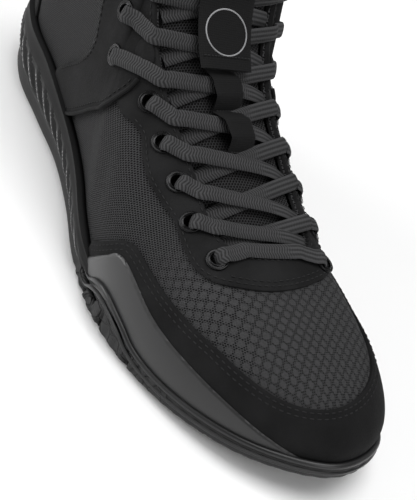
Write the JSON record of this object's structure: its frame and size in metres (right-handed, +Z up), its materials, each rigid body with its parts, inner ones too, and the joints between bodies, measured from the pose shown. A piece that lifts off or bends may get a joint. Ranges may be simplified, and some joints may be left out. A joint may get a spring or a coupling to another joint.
{
  "type": "wrestling shoe",
  "caption": "Right-foot wrestling shoe: high laced upper of mesh and suede, padded tongue, side guard, thin treaded outsole and a faceted midsole wall.",
  "frame": {"origin": "centre of the shoe's bounding box, on the floor that it stands on", "axes": "+X from heel to toe, +Y to the inner (medial) side, +Z up"},
  "size_m": [0.291, 0.0974, 0.1582],
  "materials": {
    "outsole_rubber": "matt moulded rubber",
    "midsole_foam": "satin moulded foam rubber with a faceted side",
    "insole_cloth": "cloth-topped foam",
    "mesh_cloth": "knitted mesh",
    "suede": "brushed suede",
    "guard_film": "satin film",
    "tongue_cloth": "padded cloth",
    "webbing": "woven tape",
    "lace_cord": "flat woven lace",
    "eyelet_metal": "dark polished metal",
    "ring_print": "pale raised ring"
  },
  "bodies": {
    "root": {"ankle_panel_inner": "suede", "ankle_panel_outer": "suede", "collar_cuff": "suede", "eyelet_inner_1": "eyelet_metal", "eyelet_inner_2": "eyelet_metal", "eyelet_inner_3": "eyelet_metal", "eyelet_inner_4": "eyelet_metal", "eyelet_inner_5": "eyelet_metal", "eyelet_inner_6": "eyelet_metal", "eyelet_inner_7": "eyelet_metal", "eyelet_inner_8": "eyelet_metal", "eyelet_inner_9": "eyelet_metal", "eyelet_outer_1": "eyelet_metal", "eyelet_outer_2": "eyelet_metal", "eyelet_outer_3": "eyelet_metal", "eyelet_outer_4": "eyelet_metal", "eyelet_outer_5": "eyelet_metal", "eyelet_outer_6": "eyelet_metal", "eyelet_outer_7": "eyelet_metal", "eyelet_outer_8": "eyelet_metal", "eyelet_outer_9": "eyelet_metal", "eyestay": "suede", "heel_counter": "suede", "insole": "insole_cloth", "lace_bar": "lace_cord", "lace_crossing_1": "lace_cord", "lace_crossing_2": "lace_cord", "lace_crossing_3": "lace_cord", "lace_crossing_4": "lace_cord", "lace_crossing_5": "lace_cord", "lace_crossing_6": "lace_cord", "lace_crossing_7": "lace_cord", "lace_crossing_8": "lace_cord", "lace_keeper": "webbing", "midsole": "midsole_foam", "outsole": "outsole_rubber", "side_guard": "guard_film", "tab_ring": "ring_print", "toe_wrap": "suede", "tongue": "tongue_cloth", "tongue_tab": "webbing", "upper": "mesh_cloth"}
  },
  "joints": []
}
